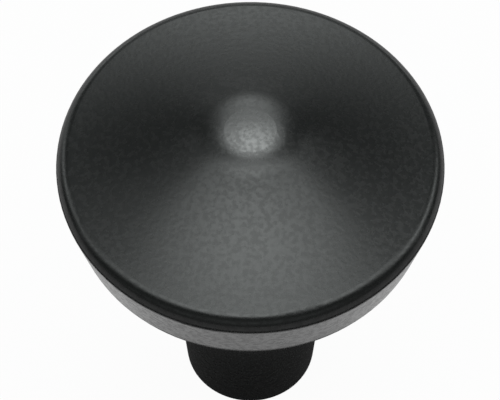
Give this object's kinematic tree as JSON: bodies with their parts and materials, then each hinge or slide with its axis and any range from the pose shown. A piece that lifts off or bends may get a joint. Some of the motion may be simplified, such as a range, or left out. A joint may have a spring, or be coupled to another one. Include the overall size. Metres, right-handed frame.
{
  "type": "cabinet knob",
  "caption": "Round cabinet knob with a shallow cone face, tapered side, hollow neck and slim stem, screwed on from behind through the door.",
  "frame": {"origin": "centre of the flat base of the stem, the face that meets the cabinet door", "axes": "+Z along the knob's axis, away from the door, from the base to the tip; X and Y are alike, because the knob is round"},
  "size_m": [0.03, 0.03, 0.0332],
  "materials": {
    "black_coat": "satin black powder coat on die-cast zinc"
  },
  "bodies": {
    "root": {"knob": "black_coat"}
  },
  "joints": []
}
